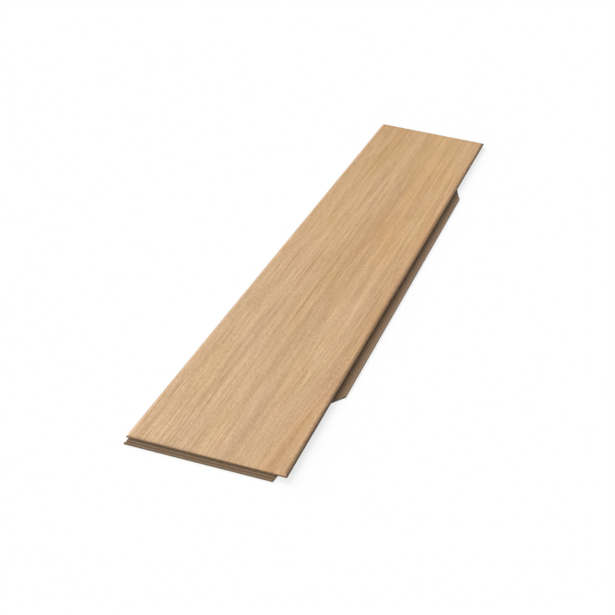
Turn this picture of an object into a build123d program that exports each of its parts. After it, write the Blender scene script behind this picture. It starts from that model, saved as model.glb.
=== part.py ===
from build123d import *
import os
from dataclasses import dataclass

# Laminate floor plank: one board with a click-lock joint milled into its four edges.
# The decor face looks up, the length runs along Y and the width along X.
# The origin is on the underside, below the middle of the decor face. Sizes are in millimetres.

# Board
face_width = 190.0
face_length = 1200.0
thickness = 8.0
bevel_width = 4.8
bevel_depth = 2.0

# Heights of the joint, stacked from the underside up
lip_floor = 1.5
lip_rise = 1.2
bead_rise = 0.9
tongue_thickness = 1.4

# Play between two joined planks, up and down and across the joint
seat_play = 0.15
lock_play = 0.3

# Small edges of the milled profile
bead_flank = 0.5
bead_round = 0.5
toe_chamfer = 0.4
lead_in = 0.25

# Long joint: locking lip on the right side, tongue on the left side
long_lip_reach = 11.1
long_bead_width = 2.4
long_ramp_head = 0.5
long_ramp_foot = 2.0
long_tongue = 1.5

# Short joint: locking lip on the near end, tongue on the far end
short_lip_reach = 8.0
short_bead_width = 1.9
short_ramp_head = 0.7
short_ramp_foot = 2.4
short_tongue = 5.0

# Overhang of the decor on the right side, where the long lip is milled away towards both ends
long_undercut = 12.4

# Where the long lip's outer edge stops short of the two ends, and how far its slanted ends run on to the root
long_lip_near_stop = 207.0
long_lip_far_stop = 280.0
long_lip_near_slant = 40.0
long_lip_far_slant = 76.0

# Where the short lip's outer edge stops short of the two long sides, and the shift of its ends at the root
short_lip_left_stop = 0.5
short_lip_right_stop = 13.7
short_lip_left_shift = 2.1
short_lip_right_shift = 1.3

# Relief under the decor at the near left corner, where the joints of four planks meet
corner_relief_width = 2.6
corner_relief_length = 12.0

# How far a cutting body runs past the board and a joined body runs into it
overrun = 1.0

# Heights and halves that follow from the sizes above
root_top = lip_floor + lip_rise
bead_top = lip_floor + bead_rise
tongue_bottom = root_top + seat_play
tongue_top = tongue_bottom + tongue_thickness
groove_top = tongue_top + seat_play
upper_lip_middle = (groove_top + thickness) / 2
half_width = face_width / 2
half_length = face_length / 2
undercut_wall = half_width - long_undercut


@dataclass
class Joint:
    """One click-lock joint, with distances measured outwards from the joint edge of the lip's own board."""

    reach: float
    bead_width: float
    ramp_head: float
    ramp_foot: float
    tongue: float

    @property
    def groove(self):
        """Depth of the groove that takes the tongue."""
        return self.tongue + lock_play

    @property
    def bead_start(self):
        """Inner edge of the bead's crest."""
        return self.reach - self.bead_width


long_joint = Joint(long_lip_reach, long_bead_width, long_ramp_head, long_ramp_foot, long_tongue)
short_joint = Joint(short_lip_reach, short_bead_width, short_ramp_head, short_ramp_foot, short_tongue)


def edge_plane(outward, distance):
    """Section plane of one edge: local x points outwards from the decor edge and local y points up."""
    across = Vector(*outward)
    return Plane(origin=across * distance, x_dir=across, z_dir=across.cross(Vector(0, 0, 1)))


right_side = edge_plane((1, 0, 0), half_width)
left_side = edge_plane((-1, 0, 0), half_width)
near_end = edge_plane((0, -1, 0), half_length)
far_end = edge_plane((0, 1, 0), half_length)


def mill_run(plane, section, start, end):
    """Body of one section along an edge, between two stations on the board's X or Y axis."""
    along = Vector(abs(plane.z_dir.X), abs(plane.z_dir.Y), 0)
    return Pos(along * ((start + end) / 2)) * extrude(plane * section, amount=(end - start) / 2, both=True)


def bevel_section():
    """Cut above the rounded bevel, which leaves the decor face smoothly."""
    face_edge = (-bevel_width, thickness)
    joint_edge = (0, thickness - bevel_depth)
    curve = TangentArc(face_edge, joint_edge, tangent=(1, 0))
    waste = Polyline(joint_edge, (overrun, thickness - bevel_depth), (overrun, thickness), face_edge)
    return make_face(curve + waste)


def undercut_section(depth):
    """Cut below the upper lip, with a lead-in at its mouth."""
    return make_face(
        Polyline(
            (-depth, -overrun),
            (overrun, -overrun),
            (overrun, groove_top + lead_in),
            (0, groove_top + lead_in),
            (-lead_in, groove_top),
            (-depth, groove_top),
            close=True,
        )
    )


def lip_section(joint, root):
    """Locking lip: groove wall, rolling ramp, channel and bead, with the root buried in the board."""
    buried = (-root - overrun, upper_lip_middle)
    ramp_start = (joint.ramp_head, root_top)
    ramp_end = (joint.ramp_foot, lip_floor)
    crest_end = (joint.reach - bead_round, bead_top)
    nose = (joint.reach, bead_top - bead_round)
    groove_wall = Polyline(buried, (-joint.groove, upper_lip_middle), (-joint.groove, root_top), ramp_start)
    ramp = TangentArc(ramp_start, ramp_end, tangent=(1, 0))
    channel = Polyline(
        ramp_end,
        (joint.bead_start - bead_flank, lip_floor),
        (joint.bead_start, bead_top),
        crest_end,
    )
    rounding = TangentArc(crest_end, nose, tangent=(1, 0))
    underside = Polyline(
        nose,
        (joint.reach, toe_chamfer),
        (joint.reach - toe_chamfer, 0),
        (-root - overrun, 0),
        buried,
    )
    return make_face(groove_wall + ramp + channel + rounding + underside)


def rebate_section(joint):
    """Cut under a tongue side: the lip of the next plank, with play above and beyond it."""
    mouth_bottom = (joint.tongue + overrun, -overrun)
    mouth_top = (joint.tongue + overrun, tongue_bottom)
    ramp_start = (-joint.ramp_head, tongue_bottom)
    ramp_end = (-joint.ramp_foot, lip_floor + seat_play)
    back = -joint.reach - lock_play
    mouth = Polyline((back, -overrun), mouth_bottom, mouth_top, ramp_start)
    ramp = TangentArc(ramp_start, ramp_end, tangent=(-1, 0))
    lug = Polyline(
        ramp_end,
        (lock_play + bead_flank - joint.bead_start, lip_floor + seat_play),
        (lock_play - joint.bead_start, bead_top + seat_play),
        (back, bead_top + seat_play),
        (back, -overrun),
    )
    return make_face(mouth + ramp + lug)


def tongue_section(joint):
    """Tongue with a fully rounded tip, with its root buried in the board."""
    shoulder = joint.tongue - tongue_thickness / 2
    tip = TangentArc((shoulder, tongue_top), (shoulder, tongue_bottom), tangent=(1, 0))
    flanks = Polyline(
        (shoulder, tongue_bottom),
        (-overrun, tongue_bottom),
        (-overrun, tongue_top),
        (shoulder, tongue_top),
    )
    return make_face(tip + flanks)


def trim_body(*corners):
    """Upright body over a plan outline, as tall as the board, that trims a lip to its outline."""
    return extrude(make_face(Polyline(*corners, close=True)), amount=thickness)


def long_lip():
    """Locking lip of the right side, which stops short of both ends with slanted ends."""
    lip = mill_run(right_side, lip_section(long_joint, long_undercut), -half_length, half_length)
    outer = half_width + long_lip_reach
    near = -half_length + long_lip_near_stop
    far = half_length - long_lip_far_stop
    outline = trim_body(
        (outer, near),
        (outer, far),
        (undercut_wall, far + long_lip_far_slant),
        (undercut_wall - overrun, far + long_lip_far_slant),
        (undercut_wall - overrun, near - long_lip_near_slant),
        (undercut_wall, near - long_lip_near_slant),
    )
    return lip & outline


def short_lip():
    """Locking lip of the near end, which stops short of both long sides."""
    lip = mill_run(near_end, lip_section(short_joint, short_joint.groove), -half_width, half_width)
    outer = -half_length - short_lip_reach
    root = -half_length + short_joint.groove
    left = -half_width + short_lip_left_stop
    right = half_width - short_lip_right_stop
    outline = trim_body(
        (left, outer),
        (right, outer),
        (right + short_lip_right_shift, root),
        (right + short_lip_right_shift, root + overrun),
        (left + short_lip_left_shift, root + overrun),
        (left + short_lip_left_shift, root),
    )
    return lip & outline


def corner_relief():
    """Cut below the upper lip at the near left corner."""
    relief = Box(corner_relief_width, corner_relief_length, groove_top, align=Align.MIN)
    return Pos(-half_width, -half_length, 0) * relief


def plank():
    """The whole board: blank, bevels, the undercut locking sides, the tongue sides and the two lips."""
    past_ends = half_length + overrun
    past_sides = half_width + overrun
    tongue_start = -half_length + corner_relief_length
    board = Pos(0, 0, thickness / 2) * Box(face_width, face_length, thickness)
    for side in (right_side, left_side):
        board -= mill_run(side, bevel_section(), -past_ends, past_ends)
    for end in (near_end, far_end):
        board -= mill_run(end, bevel_section(), -past_sides, past_sides)
    board -= mill_run(right_side, undercut_section(long_undercut), -past_ends, past_ends)
    board -= mill_run(near_end, undercut_section(short_joint.groove), -past_sides, past_sides)
    board -= mill_run(left_side, rebate_section(long_joint), tongue_start, past_ends)
    board -= mill_run(far_end, rebate_section(short_joint), -past_sides, past_sides)
    board -= corner_relief()
    board += mill_run(left_side, tongue_section(long_joint), tongue_start, half_length)
    board += mill_run(far_end, tongue_section(short_joint), -half_width, undercut_wall)
    board += long_lip()
    board += short_lip()
    return board


os.makedirs("parts", exist_ok=True)
export_step(plank(), "parts/plank.step")
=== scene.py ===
"""Laminate floor plank: oak decor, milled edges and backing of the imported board, in a white studio."""

import math
from typing import NamedTuple

import bmesh
import bpy
from bpy.props import FloatProperty, FloatVectorProperty, PointerProperty
from bpy.types import NodeSocket, Operator, Panel, PropertyGroup, Scene
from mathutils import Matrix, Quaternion, Vector


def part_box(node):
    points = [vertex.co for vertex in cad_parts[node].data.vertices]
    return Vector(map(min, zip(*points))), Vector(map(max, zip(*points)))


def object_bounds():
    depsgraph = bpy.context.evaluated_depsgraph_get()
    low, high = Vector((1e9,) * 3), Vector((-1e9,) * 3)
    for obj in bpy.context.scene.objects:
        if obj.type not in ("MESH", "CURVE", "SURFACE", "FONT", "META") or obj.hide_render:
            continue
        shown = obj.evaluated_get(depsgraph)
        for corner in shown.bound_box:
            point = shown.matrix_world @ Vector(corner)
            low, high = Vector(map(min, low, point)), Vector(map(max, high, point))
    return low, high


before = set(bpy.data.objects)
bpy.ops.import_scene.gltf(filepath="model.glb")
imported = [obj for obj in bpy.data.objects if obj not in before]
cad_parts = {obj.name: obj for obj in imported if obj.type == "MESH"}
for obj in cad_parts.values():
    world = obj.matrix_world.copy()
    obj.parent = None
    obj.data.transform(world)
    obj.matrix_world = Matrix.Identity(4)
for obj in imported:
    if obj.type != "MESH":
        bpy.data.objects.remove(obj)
cad_low, cad_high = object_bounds()

bl_info = {
    "name": "Laminate floor plank",
    "version": (1, 0, 0),
    "blender": (4, 5, 0),
    "location": "3D View > Sidebar > Plank",
    "description": "Oak decor, milled edges and backing for a laminate floor plank, and a white studio",
    "category": "Material",
}

PLANK = "plank"
MILLIMETRE = 0.001
LENGTH_DIGITS = 5
TOP_STRENGTH = 10.0
WHITE = (1.0, 1.0, 1.0, 1.0)

board_low, board_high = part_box(PLANK)
BOARD_TOP = board_high.z
NEAR_END = board_low.y
FAR_END = board_high.y

# Gap that keeps the floor clear of the underside, and blur between two zones of the board
FLOOR_GAP = 0.1 * MILLIMETRE
ZONE_BLUR = 0.02 * MILLIMETRE

# Sockets of the Mix node, whose number and colour forms share their names
MIX_FACTOR = 0
MIX_NUMBERS = (2, 3)
MIX_COLOURS = (6, 7)
MIX_NUMBER_OUT = 0
MIX_COLOUR_OUT = 2


class Mark(NamedTuple):
    """A soft oval patch of the decor, by its middle, half sizes and tint."""

    across: float
    along: float
    half_width: float
    half_length: float
    tint: tuple


MARKS = {
    "heart": Mark(0.004, -0.180, 0.040, 0.950, (0.938, 0.916, 0.890)),
    "orange zone": Mark(0.043, 0.120, 0.045, 0.500, (1.000, 0.955, 0.900)),
    "far left corner": Mark(-0.085, 0.600, 0.070, 0.500, (0.905, 0.890, 0.855)),
    "right edge flame": Mark(0.090, -0.150, 0.018, 0.280, (0.920, 0.868, 0.790)),
    "near right corner": Mark(0.085, -0.585, 0.034, 0.060, (1.000, 0.970, 0.920)),
    "right rim": Mark(0.097, 0.000, 0.024, 6.000, (1.000, 0.958, 0.965)),
    # Painted shade: a grey darkening along the far end
    "painted far edge shade": Mark(0.000, 0.602, 6.000, 0.032, (0.950, 0.950, 0.945)),
    "pale left zone": Mark(-0.068, 0.060, 0.048, 0.380, (1.055, 1.050, 1.030)),
    "knot": Mark(-0.091, -0.025, 0.009, 0.022, (0.960, 0.840, 0.680)),
    "gold fleck": Mark(0.026, 0.280, 0.010, 0.040, (1.000, 0.985, 0.860)),
    "near dark line": Mark(-0.038, -0.060, 0.0024, 0.090, (0.910, 0.880, 0.860)),
    "far dark line": Mark(-0.038, 0.475, 0.0024, 0.100, (0.910, 0.880, 0.860)),
}


class Texture(NamedTuple):
    """The character of a noise pattern: its detail, how rough that is, and its own stretch of the noise."""

    detail: float
    roughness: float
    seed: float


BEND = Texture(1.0, 0.4, 3.1)
STREAKS = Texture(4.0, 0.7, 5.3)
STRIPES = Texture(1.0, 0.5, 8.9)
GOLD = Texture(2.0, 0.5, 12.9)
HAIRS = Texture(1.0, 0.5, 14.7)
PORES = Texture(1.0, 0.4, 17.3)
PORE_GROUPS = Texture(1.0, 0.5, 21.9)
MOTTLE = Texture(2.0, 0.6, 25.3)
RUST = Texture(2.0, 0.5, 28.3)
FIBREBOARD = Texture(3.0, 0.6, 31.7)
CLOUDS = Texture(2.0, 0.5, 37.1)
PAPER = Texture(4.0, 0.6, 41.3)
LINE_WAVES = Texture(2.0, 0.5, 47.9)
LINE_GROUPS = Texture(1.0, 0.5, 51.3)
FIBRES = Texture(1.0, 0.5, 55.1)
SPECKS = Texture(1.0, 0.4, 61.7)

# Middle of the noise and of the tone, and a depth so great that the grain is the same all through the board
NOISE_MIDDLE = 0.5
MIDDLE_TONE = 0.5
EVEN_DEPTH = 1.0

# Levels of noise between which a pattern comes in
STRIPE_RISE = (0.40, 0.60)
GOLD_RISE = (0.45, 0.68)
RUST_RISE = (0.48, 0.70)
PORE_RISE = (0.58, 0.72)
PORE_GROUP_RISE = (0.35, 0.62)
SPECK_RISE = (0.60, 0.70)
SPECK_GROUP_RISE = (0.25, 0.55)
LINE_GROUP_RISE = (0.42, 0.60)
PAPER_RISE = (0.35, 0.70)

# Levels of the line noise at which the pale and the dark lines run, and how far each line spreads
PALE_LINE = 0.500
PALE_LINE_SPREAD = 0.026
DARK_LINE = 0.555
DARK_LINE_SPREAD = 0.030

# Lean of the grain by the near right corner: its span across, its length from the near end and its shift
LEAN_ACROSS = (0.015, 0.085)
LEAN_LENGTH = 0.360
LEAN_SHIFT = 0.020

# Bulge of the grain beside the knot: its span across, its start, middle and end along, and its shift
BULGE_ACROSS = (-0.045, -0.095)
BULGE_START = -0.030
BULGE_MIDDLE = 0.050
BULGE_END = 0.260
BULGE_SHIFT = -0.016

# Span across in which the pale tone of the near end comes in, and its share at the right side
PALE_ACROSS = (0.100, 0.020)
PALE_RIGHT_SHARE = 0.40

# Distances from the near end over which the painted shade along the right edge widens
RIGHT_WIDENING = (0.200, 0.550)

# Distances from the left side over which the painted shade along the near end fades
NEAR_FADING = (0.030, 0.130)

# Distances from the near and the far end over which the shade painted on the bare right rim comes in beside
# the lip
NEAR_RIM = (0.230, 0.200)
FAR_RIM = (0.260, 0.220)


def length(title, text, millimetres):
    """A length that a user can change, with its default in millimetres."""
    return FloatProperty(
        name=title, description=text, default=millimetres * MILLIMETRE, precision=LENGTH_DIGITS, unit="LENGTH"
    )


def share(title, text, default):
    """A share from none to all that a user can change."""
    return FloatProperty(name=title, description=text, default=default, min=0.0, max=1.0, subtype="FACTOR")


def strength(title, text, default):
    """A strength that a user can change."""
    return FloatProperty(name=title, description=text, default=default, min=0.0, max=TOP_STRENGTH)


def colour(title, text, default):
    """A linear colour that a user can change."""
    return FloatVectorProperty(
        name=title, description=text, default=default, size=3, min=0.0, max=1.0, subtype="COLOR"
    )


def angle(title, text, degrees):
    """An angle that a user can change, with its default in degrees."""
    return FloatProperty(name=title, description=text, default=math.radians(degrees), subtype="ANGLE")


def position(title, text, default):
    """A place in metres that a user can change."""
    return FloatVectorProperty(
        name=title, description=text, default=default, size=3, subtype="TRANSLATION", unit="LENGTH"
    )


def direction(title, text, default):
    """A direction that a user can change."""
    return FloatVectorProperty(name=title, description=text, default=default, size=3, subtype="DIRECTION")


class DecorSettings(PropertyGroup):
    """The printed and embossed oak face, and the shade painted into its colour along its edges."""

    pale: colour("Pale grain", "Lightest grain of the decor", (0.764, 0.543, 0.345))
    deep: colour("Deep grain", "Darkest grain of the decor", (0.472, 0.296, 0.157))
    pore: colour("Pores", "Short dark pore lines", (0.330, 0.190, 0.095))
    golden: colour("Golden tint", "Tint of the yellower patches", (1.000, 0.985, 0.900))
    russet: colour("Russet tint", "Tint of the redder patches", (1.000, 0.970, 0.930))
    far_tint: colour("Far tint", "How the decor warms towards the far end", (0.930, 0.866, 0.750))
    face_width: length("Face width", "Width of the decor face", 190.0)
    face_length: length("Face length", "Length of the decor face", 1200.0)
    bevel_depth: length("Bevel depth", "How far the decor runs down the bevelled edges", 2.0)
    # Painted shade: the decor darkens towards its edges, most on the right side, which faces away from the
    # light
    painted_edge_shade: colour("Edge tint", "How the decor darkens towards its right side", (0.720, 0.720, 0.750))
    edge_width: length("Edge width", "How far that darkening reaches in", 8.0)
    left_share: share("Left share", "How much of the edge tint the left side has", 0.40)
    far_share: share("Far share", "How much of the edge tint the far end has", 0.35)
    near_share: share("Near share", "How much of the edge tint the near end has at its left", 0.80)
    near_width: length("Near width", "How far the darkening reaches in from the near end", 4.0)
    near_right_width: length("Near right width", "How far it reaches in on the right, by the near end", 5.5)
    # Painted shade: the right side darkens further where no lip stands below it
    painted_rim_shade: colour("Rim tint", "How the right side darkens where it has no lip", (0.680, 0.680, 0.700))
    painted_rim_shade_width: length("Rim width", "How far that darkening reaches in", 3.6)
    # Painted shade: the decor darkens at the foot of its bevels
    painted_foot_shade: colour("Foot tint", "How the decor darkens at the foot of its bevels", (0.460, 0.440, 0.430))
    painted_foot_shade_height: length("Foot height", "How far the dark foot reaches up the bevels", 0.8)
    roughness: share("Roughness", "Roughness of the satin wear layer", 0.58)
    gloss: share("Gloss", "Specular level of the wear layer", 0.16)
    relief: length("Relief", "Depth of the embossed grain", 0.12)
    relief_share: share("Relief share", "How strongly the embossed grain turns the light", 0.6)


class GrainSettings(PropertyGroup):
    """The patterns that make up the grain: how wide, how long and how strong each of them is."""

    streak_width: length("Streak width", "Width of the broadest streaks", 13.0)
    streak_length: length("Streak length", "Length of the broadest streaks", 900.0)
    streak_swing: strength("Streak strength", "How far the streaks change the tone", 1.30)
    stripe_width: length("Stripe width", "Width of the firm stripes", 8.0)
    stripe_length: length("Stripe length", "Length of the firm stripes", 500.0)
    stripe_swing: strength("Stripe strength", "How far the stripes change the tone", 0.11)
    hair_width: length("Hair width", "Width of the fine grain lines", 1.7)
    hair_length: length("Hair length", "Length of the fine grain lines", 90.0)
    hair_swing: strength("Hair strength", "How far the fine lines change the tone", 0.85)
    fibre_width: length("Fibre width", "Width of the thinnest fibres", 0.6)
    fibre_length: length("Fibre length", "Length of the thinnest fibres", 30.0)
    fibre_swing: strength("Fibre strength", "How far the fibres change the tone", 0.38)
    mottle_width: length("Mottle width", "Width of the embossed ripples", 1.8)
    mottle_length: length("Mottle length", "Length of the embossed ripples", 6.5)
    mottle_swing: strength("Mottle strength", "How far the ripples change the tone", 1.05)
    line_width: length("Line spacing", "Rough spacing of the paired lines", 11.0)
    line_length: length("Line length", "Length of the paired lines", 700.0)
    line_swing: strength("Line strength", "How far the paired lines change the tone", 0.28)
    line_group_width: length("Line group width", "Width of a group of paired lines", 35.0)
    line_group_length: length("Line group length", "Length of a group of paired lines", 220.0)
    far_contrast: share("Far contrast", "Contrast of the grain at the far end", 0.90)
    gold_width: length("Golden patch width", "Width of the yellower patches", 50.0)
    gold_length: length("Golden patch length", "Length of the yellower patches", 300.0)
    rust_width: length("Russet patch width", "Width of the redder patches", 45.0)
    rust_length: length("Russet patch length", "Length of the redder patches", 240.0)
    pore_width: length("Pore width", "Width of a pore line", 1.1)
    pore_length: length("Pore length", "Length of a pore line", 12.0)
    pore_share: share("Pore share", "How much of their colour the pore lines show", 0.18)
    pore_roughness: share("Pore roughness", "How much rougher the pore lines are", 0.18)
    pore_group_width: length("Pore group width", "Width of a group of pores", 12.0)
    pore_group_length: length("Pore group length", "Length of a group of pores", 120.0)
    speck_width: length("Speck width", "Width of the finest pores", 0.36)
    speck_length: length("Speck length", "Length of the finest pores", 9.0)
    speck_share: share("Speck share", "How much of their colour the finest pores show", 0.30)
    bend_width: length("Bend width", "Width of the slow bends of the grain", 140.0)
    bend_length: length("Bend length", "Length of the slow bends of the grain", 750.0)
    wander: length("Wander", "How far the grain wanders sideways", 9.0)


class EdgeSettings(PropertyGroup):
    """The milled fibreboard edges, with light painted on a band at mid height and on the long lip's root, and
    the backing.
    """

    fibre_light: colour("Light fibre", "Lighter fibres of the core", (0.245, 0.163, 0.101))
    fibre_dark: colour("Dark fibre", "Darker fibres of the core", (0.170, 0.108, 0.065))
    # Painted light: the paler band at mid height stands in for light in the grooves and on the lips' beads,
    # which lie in shade
    middle: colour("Paler middle", "Paler fibres in the middle of the thickness", (0.450, 0.312, 0.200))
    middle_low: length("Middle start", "Height at which the paler middle starts", 2.65)
    middle_high: length("Middle end", "Height at which the paler middle ends", 4.3)
    middle_blend: length("Middle blend", "How softly the paler middle and the lip start", 0.4)
    lip_light: colour("Light lip fibre", "Lighter fibres of the long lip", (0.284, 0.180, 0.104))
    lip_dark: colour("Dark lip fibre", "Darker fibres of the long lip", (0.191, 0.118, 0.066))
    lip_far_tint: colour("Far lip tint", "How the lip darkens towards its far end", (0.820, 0.820, 0.830))
    lip_far_start: length("Far lip start", "Where along the plank that darkening starts", -300.0)
    lip_far_end: length("Far lip end", "Where along the plank that darkening is full", 300.0)
    # Painted light: the paler root lightens the long lip where the upper lip shades it
    root: colour("Lip root", "Paler fibres at the root of the long lip", (0.372, 0.237, 0.136))
    root_start: length("Root start", "Where the paler root starts to fade, past the decor edge", 1.5)
    root_end: length("Root end", "Where the paler root has faded, past the decor edge", 5.0)
    fibre_size: length("Fibre size", "Size of the pressed fibre specks", 1.1)
    fibre_flatness: share("Fibre flatness", "Height of a fibre speck for its size", 0.5)
    fibre_swing: strength("Fibre strength", "How far the specks change the tone", 1.4)
    cloud_width: length("Cloud width", "Width of the paler clouds in the core", 20.0)
    cloud_length: length("Cloud length", "Length of the paler clouds in the core", 50.0)
    cloud_height: length("Cloud height", "Height of the paler clouds in the core", 4.0)
    cloud_swing: strength("Cloud strength", "How far the clouds change the tone", 0.6)
    paper: colour("Backing", "Balancing paper on the underside", (0.420, 0.330, 0.235))
    paper_dark: colour("Backing mottle", "Darker fibres in the backing", (0.340, 0.262, 0.182))
    paper_thickness: length("Backing thickness", "Thickness of the balancing paper", 0.2)
    paper_blot_width: length("Backing mottle width", "Width of the darker blots in the backing", 4.0)
    paper_blot_length: length("Backing mottle length", "Length of the darker blots in the backing", 9.0)
    roughness: share("Roughness", "Roughness of the milled fibreboard", 0.62)


class StageSettings(PropertyGroup):
    """Floor, light and camera."""

    floor_half: length("Floor half size", "Half the side of the square floor", 6000.0)
    floor_grey: share("Floor grey", "How much light the floor throws back", 0.30)
    floor_shadow: share("Shadow share", "How much of the floor's shade the camera sees", 0.26)
    sky: strength("Sky strength", "Level of the surrounding soft light", 0.14)
    key_strength: strength("Key strength", "Strength of the soft key light", 3.13)
    key_angle: angle("Key width", "Angle that the soft key light spans", 50.0)
    key_from: direction("Key direction", "Where the key light comes from", (-0.72, 0.42, 0.54))
    fill_strength: strength("Fill strength", "Strength of the soft fill light", 2.30)
    fill_angle: angle("Fill width", "Angle that the soft fill light spans", 40.0)
    fill_from: direction("Fill direction", "Where the fill light comes from", (-0.20, -0.86, 0.42))
    camera_place: position("Camera place", "Where the camera stands", (0.4107, -1.8827, 0.8715))
    camera_aim: position("Camera aim", "Point in the middle of the picture", (-0.0034, -0.1948, 0.0073))
    camera_roll: angle("Camera roll", "Tilt of the camera to the left", 6.53)
    lens: FloatProperty(name="Lens", description="Focal length in millimetres", default=83.96, unit="CAMERA")


class ShaderGraph:
    """Short calls that add linked nodes to one node tree, which is emptied first."""

    def __init__(self, tree):
        self.tree = tree
        tree.nodes.clear()

    def feed(self, socket, value):
        """Link a socket to another, or set its own value."""
        if isinstance(value, NodeSocket):
            self.tree.links.new(value, socket)
        else:
            socket.default_value = value

    def node(self, kind, inputs, **settings):
        """A new node with its settings and inputs. Inputs are named or numbered."""
        made = self.tree.nodes.new(kind)
        for name, value in settings.items():
            setattr(made, name, value)
        for name, value in inputs.items():
            self.feed(made.inputs[name], value)
        return made

    def axes(self, place):
        """The X, Y and Z of a place."""
        return self.node("ShaderNodeSeparateXYZ", {"Vector": place}).outputs[:]

    def maths(self, operation, first, second=0.0):
        """One sum on two numbers."""
        return self.node("ShaderNodeMath", {0: first, 1: second}, operation=operation).outputs[0]

    def fold(self, operation, *values):
        """One sum carried along several numbers."""
        result = values[0]
        for value in values[1:]:
            result = self.maths(operation, result, value)
        return result

    def total(self, *values):
        """The sum of several numbers."""
        return self.fold("ADD", *values)

    def product(self, *values):
        """The product of several numbers."""
        return self.fold("MULTIPLY", *values)

    def greatest(self, *values):
        """The greatest of several numbers."""
        return self.fold("MAXIMUM", *values)

    def ramp(self, value, start, end, low=0.0, high=1.0):
        """A value eased from low at start to high at end, and held outside."""
        inputs = {"Value": value, "From Min": start, "From Max": end, "To Min": low, "To Max": high}
        return self.node("ShaderNodeMapRange", inputs, interpolation_type="SMOOTHSTEP").outputs["Result"]

    def mix(self, factor, first, second, blend="MIX"):
        """One colour over another."""
        below, above = MIX_COLOURS
        inputs = {MIX_FACTOR: factor, below: first, above: second}
        return self.node("ShaderNodeMix", inputs, data_type="RGBA", blend_type=blend).outputs[MIX_COLOUR_OUT]

    def tinted(self, base, tint, factor):
        """A colour times a tint, as far as the factor says."""
        return self.mix(factor, base, opaque(tint), "MULTIPLY")

    def mix_value(self, factor, first, second):
        """One number over another."""
        below, above = MIX_NUMBERS
        inputs = {MIX_FACTOR: factor, below: first, above: second}
        return self.node("ShaderNodeMix", inputs, data_type="FLOAT").outputs[MIX_NUMBER_OUT]

    def noise(self, place, sizes, texture):
        """Soft noise between 0 and 1 whose blots have the given sizes along X, Y and Z, in metres."""
        start = (texture.seed,) * len(sizes)
        scale = tuple(1.0 / size for size in sizes)
        mapping = self.node("ShaderNodeMapping", {"Vector": place, "Location": start, "Scale": scale})
        inputs = {
            "Vector": mapping.outputs[0],
            "Scale": 1.0,
            "Detail": texture.detail,
            "Roughness": texture.roughness,
        }
        return self.node("ShaderNodeTexNoise", inputs).outputs[0]

    def grain(self, place, blot_width, blot_length, texture):
        """Noise drawn out along the plank."""
        return self.noise(place, (blot_width, blot_length, EVEN_DEPTH), texture)

    def centred(self, value, swing):
        """Noise shifted to swing about zero by the given strength."""
        return self.product(self.maths("SUBTRACT", value, NOISE_MIDDLE), swing)


def opaque(rgb):
    """A colour as a shader socket takes it."""
    return (*rgb, 1.0)


def grain_place(graph, place, grain):
    """Object coordinates bent sideways, so that patterns drawn straight in them follow the grain."""
    across, along, _ = graph.axes(place)
    wander = graph.centred(graph.grain(place, grain.bend_width, grain.bend_length, BEND), grain.wander)
    right_part = graph.ramp(across, *LEAN_ACROSS)
    near_part = graph.ramp(along, NEAR_END + LEAN_LENGTH, NEAR_END)
    lean = graph.product(right_part, near_part, LEAN_SHIFT)
    left_part = graph.ramp(across, *BULGE_ACROSS)
    before = graph.ramp(along, BULGE_START, BULGE_MIDDLE)
    beyond = graph.ramp(along, BULGE_END, BULGE_MIDDLE)
    bulge = graph.product(left_part, before, beyond, BULGE_SHIFT)
    bent = graph.total(across, wander, lean, bulge)
    return graph.node("ShaderNodeCombineXYZ", {"X": bent, "Y": along, "Z": 0.0}).outputs[0]


def edge_distances(graph, place, decor):
    """Distances from the right, left, near and far sides of the decor face."""
    across, along, _ = graph.axes(place)
    half_width = decor.face_width / 2
    half_length = decor.face_length / 2
    return (
        graph.maths("SUBTRACT", half_width, across),
        graph.maths("ADD", half_width, across),
        graph.maths("ADD", half_length, along),
        graph.maths("SUBTRACT", half_length, along),
    )


def painted_edge_shade_mask(graph, place, decor):
    """Mask of the shade painted along the decor's edges: 1 at the right side, less at the other sides, easing
    to 0 further in.
    """
    right, left, near, far = edge_distances(graph, place, decor)
    right_width = graph.ramp(near, *RIGHT_WIDENING, decor.near_right_width, decor.edge_width)
    right_part = graph.ramp(right, right_width, 0.0)
    left_part = graph.ramp(left, decor.edge_width, 0.0, 0.0, decor.left_share)
    far_part = graph.ramp(far, decor.edge_width, 0.0, 0.0, decor.far_share)
    near_share = graph.ramp(left, *NEAR_FADING, decor.near_share, 0.0)
    near_part = graph.product(graph.ramp(near, decor.near_width, 0.0), near_share)
    return graph.greatest(right_part, left_part, far_part, near_part)


def painted_rim_shade_mask(graph, place, decor):
    """Mask of the shade painted on the right side where no lip stands below it: 1 at the side, easing to 0
    further in and towards the lip.
    """
    right, _, near, far = edge_distances(graph, place, decor)
    beside_lip = graph.greatest(graph.ramp(near, *NEAR_RIM), graph.ramp(far, *FAR_RIM))
    return graph.product(graph.ramp(right, decor.painted_rim_shade_width, 0.0), beside_lip)


def inside_mark(graph, across, along, mark):
    """1 in the middle of a mark, easing to 0 at its oval rim."""
    beside = graph.maths("DIVIDE", graph.maths("SUBTRACT", across, mark.across), mark.half_width)
    beyond = graph.maths("DIVIDE", graph.maths("SUBTRACT", along, mark.along), mark.half_length)
    squares = graph.total(graph.product(beside, beside), graph.product(beyond, beyond))
    return graph.ramp(graph.maths("SQRT", squares), 1.0, 0.0)


def contour(graph, waves, level, spread):
    """1 where the waves are at a level, easing to 0 on both sides of it."""
    off_level = graph.maths("ABSOLUTE", graph.maths("SUBTRACT", waves, level))
    return graph.ramp(off_level, spread, 0.0)


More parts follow.
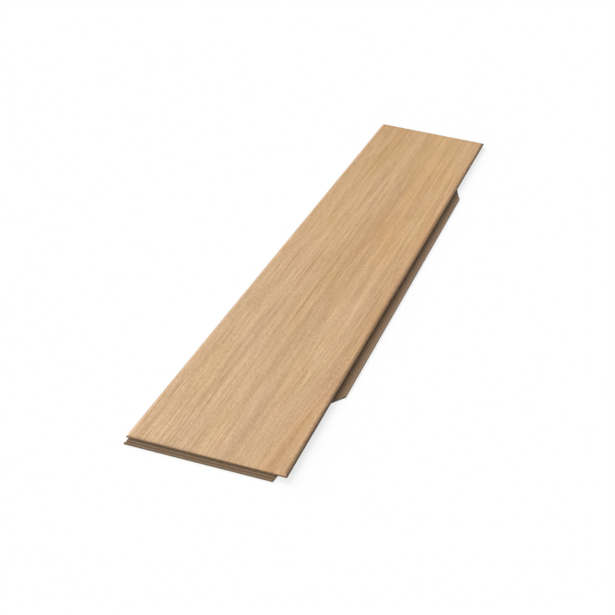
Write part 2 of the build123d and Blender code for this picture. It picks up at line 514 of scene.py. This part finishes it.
def line_pairs(graph, lines, grain):
    """Thin pale grain lines, each with a dark line beside it, in loose groups."""
    waves = graph.grain(lines, grain.line_width, grain.line_length, LINE_WAVES)
    pale = contour(graph, waves, PALE_LINE, PALE_LINE_SPREAD)
    dark = contour(graph, waves, DARK_LINE, DARK_LINE_SPREAD)
    groups = graph.grain(lines, grain.line_group_width, grain.line_group_length, LINE_GROUPS)
    return graph.product(graph.maths("SUBTRACT", pale, dark), graph.ramp(groups, *LINE_GROUP_RISE))


def decor_with_painted_shade(graph, wood, place, decor):
    """The decor with shade painted into its colour along its edges, on the bare right rim and at the foot of
    its bevels.
    """
    wood = graph.tinted(wood, decor.painted_edge_shade, painted_edge_shade_mask(graph, place, decor))
    wood = graph.tinted(wood, decor.painted_rim_shade, painted_rim_shade_mask(graph, place, decor))
    _, _, up = graph.axes(place)
    # Painted shade at the foot of the bevels
    foot = BOARD_TOP - decor.bevel_depth
    return graph.tinted(wood, decor.painted_foot_shade, graph.ramp(up, foot + decor.painted_foot_shade_height, foot))


def oak_decor(graph, place, decor, grain):
    """Colour, roughness and relief of the decor face."""
    lines = grain_place(graph, place, grain)
    across, along, _ = graph.axes(lines)

    streaks = graph.grain(lines, grain.streak_width, grain.streak_length, STREAKS)
    stripes = graph.grain(lines, grain.stripe_width, grain.stripe_length, STRIPES)
    hairs = graph.grain(lines, grain.hair_width, grain.hair_length, HAIRS)
    mottle = graph.grain(lines, grain.mottle_width, grain.mottle_length, MOTTLE)
    fibres = graph.grain(lines, grain.fibre_width, grain.fibre_length, FIBRES)
    swing = graph.total(
        graph.centred(streaks, grain.streak_swing),
        graph.centred(graph.ramp(stripes, *STRIPE_RISE), grain.stripe_swing),
        graph.centred(hairs, grain.hair_swing),
        graph.centred(mottle, grain.mottle_swing),
        graph.centred(fibres, grain.fibre_swing),
        graph.product(line_pairs(graph, lines, grain), grain.line_swing),
    )
    contrast = graph.ramp(along, NEAR_END, FAR_END, 1.0, grain.far_contrast)
    tone = graph.total(graph.product(swing, contrast), MIDDLE_TONE)
    wood = graph.mix(tone, opaque(decor.deep), opaque(decor.pale))

    gold = graph.grain(lines, grain.gold_width, grain.gold_length, GOLD)
    wood = graph.tinted(wood, decor.golden, graph.ramp(gold, *GOLD_RISE))
    rust = graph.grain(lines, grain.rust_width, grain.rust_length, RUST)
    wood = graph.tinted(wood, decor.russet, graph.ramp(rust, *RUST_RISE))
    for mark in MARKS.values():
        wood = graph.tinted(wood, mark.tint, inside_mark(graph, across, along, mark))

    groups = graph.grain(lines, grain.pore_group_width, grain.pore_group_length, PORE_GROUPS)
    dashes = graph.grain(lines, grain.pore_width, grain.pore_length, PORES)
    pores = graph.product(graph.ramp(dashes, *PORE_RISE), graph.ramp(groups, *PORE_GROUP_RISE))
    wood = graph.mix(graph.product(pores, grain.pore_share), wood, opaque(decor.pore))
    specks = graph.grain(lines, grain.speck_width, grain.speck_length, SPECKS)
    pricks = graph.product(graph.ramp(specks, *SPECK_RISE), graph.ramp(groups, *SPECK_GROUP_RISE))
    wood = graph.mix(graph.product(pricks, grain.speck_share), wood, opaque(decor.pore))

    beside = graph.ramp(across, *PALE_ACROSS, PALE_RIGHT_SHARE, 1.0)
    paler = graph.product(graph.ramp(along, FAR_END, NEAR_END), beside)
    wood = graph.tinted(wood, decor.far_tint, graph.maths("SUBTRACT", 1.0, paler))
    wood = decor_with_painted_shade(graph, wood, place, decor)

    roughness = graph.total(graph.product(pores, grain.pore_roughness), decor.roughness)
    height = graph.maths("SUBTRACT", graph.total(hairs, mottle), pores)
    return wood, roughness, height


def lip_fibre(graph, light, past, along, edge):
    """Colour of the long lip: paler at its root, where light is painted into the upper lip's shade, and
    darker towards its far end.
    """
    lip = graph.mix(light, opaque(edge.lip_dark), opaque(edge.lip_light))
    # Painted light at the root of the long lip
    root = graph.mix(light, opaque(edge.lip_light), opaque(edge.root))
    lip = graph.mix(graph.ramp(past, edge.root_end, edge.root_start), lip, root)
    return graph.tinted(lip, edge.lip_far_tint, graph.ramp(along, edge.lip_far_start, edge.lip_far_end))


def milled_fibre(graph, place, decor, edge):
    """Colour and relief of the milled fibreboard core, with painted light in a band at mid height and painted
    shade on the bare right rim.
    """
    across, along, up = graph.axes(place)
    size = edge.fibre_size
    specks = graph.noise(place, (size, size, size * edge.fibre_flatness), FIBREBOARD)
    clouds = graph.noise(place, (edge.cloud_width, edge.cloud_length, edge.cloud_height), CLOUDS)
    swing = graph.total(graph.centred(specks, edge.fibre_swing), graph.centred(clouds, edge.cloud_swing))
    light = graph.total(swing, MIDDLE_TONE)

    outer = graph.mix(light, opaque(edge.fibre_dark), opaque(edge.fibre_light))
    # Painted shade on the fibre of the bare right rim
    outer = graph.tinted(outer, decor.painted_rim_shade, painted_rim_shade_mask(graph, place, decor))
    past = graph.maths("SUBTRACT", across, decor.face_width / 2)
    lip = lip_fibre(graph, light, past, along, edge)
    outer = graph.mix(graph.ramp(past, 0.0, edge.middle_blend), outer, lip)

    # Painted light: a paler band at mid height, in the grooves and on the lips' beads
    above_start = graph.ramp(up, edge.middle_low - edge.middle_blend, edge.middle_low)
    below_end = graph.ramp(up, edge.middle_high + edge.middle_blend, edge.middle_high)
    inner = graph.mix(light, opaque(edge.fibre_light), opaque(edge.middle))
    return graph.mix(graph.product(above_start, below_end), outer, inner), specks


def backing_paper(graph, place, edge):
    """Colour of the balancing paper on the underside."""
    sizes = (edge.paper_blot_width, edge.paper_blot_length, edge.paper_blot_width)
    mottle = graph.noise(place, sizes, PAPER)
    return graph.mix(graph.ramp(mottle, *PAPER_RISE), opaque(edge.paper), opaque(edge.paper_dark))


def laminate_material(decor, grain, edge):
    """One board material: decor above the bevels' foot, backing at the very bottom, fibreboard between."""
    material = bpy.data.materials.new("laminate")
    material.use_nodes = True
    graph = ShaderGraph(material.node_tree)
    place = graph.node("ShaderNodeTexCoord", {}).outputs["Object"]
    _, _, up = graph.axes(place)

    wood, wood_roughness, wood_height = oak_decor(graph, place, decor, grain)
    fibre, fibre_height = milled_fibre(graph, place, decor, edge)
    paper = backing_paper(graph, place, edge)

    decor_foot = BOARD_TOP - decor.bevel_depth
    on_decor = graph.ramp(up, decor_foot - ZONE_BLUR, decor_foot + ZONE_BLUR)
    on_paper = graph.ramp(up, edge.paper_thickness + ZONE_BLUR, edge.paper_thickness - ZONE_BLUR)
    height = graph.mix_value(on_decor, fibre_height, wood_height)
    bump = {"Strength": decor.relief_share, "Distance": decor.relief, "Height": height}
    surface = {
        "Base Color": graph.mix(on_paper, graph.mix(on_decor, fibre, wood), paper),
        "Roughness": graph.mix_value(on_decor, edge.roughness, wood_roughness),
        "Normal": graph.node("ShaderNodeBump", bump).outputs[0],
        "Specular IOR Level": decor.gloss,
    }
    shader = graph.node("ShaderNodeBsdfPrincipled", surface)
    graph.node("ShaderNodeOutputMaterial", {"Surface": shader.outputs[0]})
    return material


class PlankFinish(Operator):
    """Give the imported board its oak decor, milled edges and backing"""

    bl_idname = "plank.finish"
    bl_label = "Finish plank"

    def execute(self, context):
        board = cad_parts[PLANK]
        scene = context.scene
        material = laminate_material(scene.plank_decor, scene.plank_grain, scene.plank_edge)
        board.material_slots[0].material = material
        return {"FINISHED"}


def seen_directly(graph):
    """1 for rays from the camera, mirrors and glass, and 0 for rays that only carry light."""
    path = graph.node("ShaderNodeLightPath", {}).outputs
    return graph.greatest(path["Is Camera Ray"], path["Is Glossy Ray"], path["Is Transmission Ray"])


def floor_material(stage):
    """White to the camera, but for a share of its shade, and pale grey to the light."""
    material = bpy.data.materials.new("studio floor")
    material.use_nodes = True
    graph = ShaderGraph(material.node_tree)
    direct = seen_directly(graph)
    grey = (stage.floor_grey,) * 3
    paint = graph.mix(direct, opaque(grey), WHITE)
    matte = graph.node("ShaderNodeBsdfDiffuse", {"Color": paint}).outputs[0]
    glow = graph.node("ShaderNodeEmission", {"Color": WHITE, "Strength": 1.0}).outputs[0]
    white = graph.product(direct, 1.0 - stage.floor_shadow)
    surface = graph.node("ShaderNodeMixShader", {0: white, 1: matte, 2: glow}).outputs[0]
    graph.node("ShaderNodeOutputMaterial", {"Surface": surface})
    return material


def add_floor(scene, stage):
    """A plain square floor just under the board."""
    sheet = bmesh.new()
    bmesh.ops.create_grid(sheet, x_segments=1, y_segments=1, size=stage.floor_half)
    bmesh.ops.translate(sheet, verts=sheet.verts, vec=(0.0, 0.0, cad_low.z - FLOOR_GAP))
    mesh = bpy.data.meshes.new("studio_floor")
    sheet.to_mesh(mesh)
    sheet.free()
    mesh.materials.append(floor_material(stage))
    floor = bpy.data.objects.new("studio_floor", mesh)
    scene.collection.objects.link(floor)


def add_light(scene, stage):
    """Even light from all round, a wide soft key from the far left and a soft fill from the front."""
    world = bpy.data.worlds.new("studio")
    scene.world = world
    world.use_nodes = True
    graph = ShaderGraph(world.node_tree)
    level = graph.mix_value(seen_directly(graph), stage.sky, 1.0)
    sky = graph.node("ShaderNodeBackground", {"Color": WHITE, "Strength": level})
    graph.node("ShaderNodeOutputWorld", {"Surface": sky.outputs[0]})

    lamps = (
        ("soft_key", stage.key_strength, stage.key_angle, stage.key_from),
        ("soft_fill", stage.fill_strength, stage.fill_angle, stage.fill_from),
    )
    for name, energy, span, source in lamps:
        lamp = bpy.data.lights.new(name, "SUN")
        lamp.energy = energy
        lamp.angle = span
        light = bpy.data.objects.new(name, lamp)
        light.rotation_mode = "QUATERNION"
        light.rotation_quaternion = Vector(source).to_track_quat("Z", "Y")
        scene.collection.objects.link(light)


def add_camera(scene, stage):
    """The camera at the photograph's place, tilted a little to the left."""
    lens = bpy.data.cameras.new("camera")
    lens.lens = stage.lens
    camera = bpy.data.objects.new("camera", lens)
    camera.location = stage.camera_place
    look = Vector(stage.camera_aim) - Vector(stage.camera_place)
    roll = Quaternion((0.0, 0.0, 1.0), stage.camera_roll)
    camera.rotation_mode = "QUATERNION"
    camera.rotation_quaternion = look.to_track_quat("-Z", "Y") @ roll
    scene.collection.objects.link(camera)
    scene.camera = camera


class PlankStage(Operator):
    """Set the white floor, the soft light and the camera"""

    bl_idname = "plank.stage"
    bl_label = "Set stage"

    def execute(self, context):
        scene = context.scene
        add_floor(scene, scene.plank_stage)
        add_light(scene, scene.plank_stage)
        add_camera(scene, scene.plank_stage)
        scene.view_settings.view_transform = "Standard"
        return {"FINISHED"}


def show_settings(layout, settings):
    """One row for each setting of a group."""
    for name in settings.__annotations__:
        layout.prop(settings, name)


class PlankPanel(Panel):
    """Sidebar panel with the plank's settings and steps."""

    bl_idname = "VIEW3D_PT_plank"
    bl_label = "Laminate plank"
    bl_space_type = "VIEW_3D"
    bl_region_type = "UI"
    bl_category = "Plank"

    def draw(self, context):
        scene = context.scene
        for settings in (scene.plank_decor, scene.plank_grain, scene.plank_edge):
            show_settings(self.layout, settings)
        self.layout.operator(PlankFinish.bl_idname)
        show_settings(self.layout, scene.plank_stage)
        self.layout.operator(PlankStage.bl_idname)


SETTINGS = {
    "plank_decor": DecorSettings,
    "plank_grain": GrainSettings,
    "plank_edge": EdgeSettings,
    "plank_stage": StageSettings,
}
TOOLS = (PlankFinish, PlankStage, PlankPanel)


def register():
    """Add the settings, the operators and the panel."""
    for name, group in SETTINGS.items():
        bpy.utils.register_class(group)
        setattr(Scene, name, PointerProperty(type=group))
    for tool in TOOLS:
        bpy.utils.register_class(tool)


def unregister():
    """Take the panel, the operators and the settings away."""
    for tool in reversed(TOOLS):
        bpy.utils.unregister_class(tool)
    for name, group in SETTINGS.items():
        delattr(Scene, name)
        bpy.utils.unregister_class(group)


def main():
    """Dress the plank and set the stage."""
    register()
    bpy.ops.plank.finish()
    bpy.ops.plank.stage()


if __name__ == "__main__":
    main()
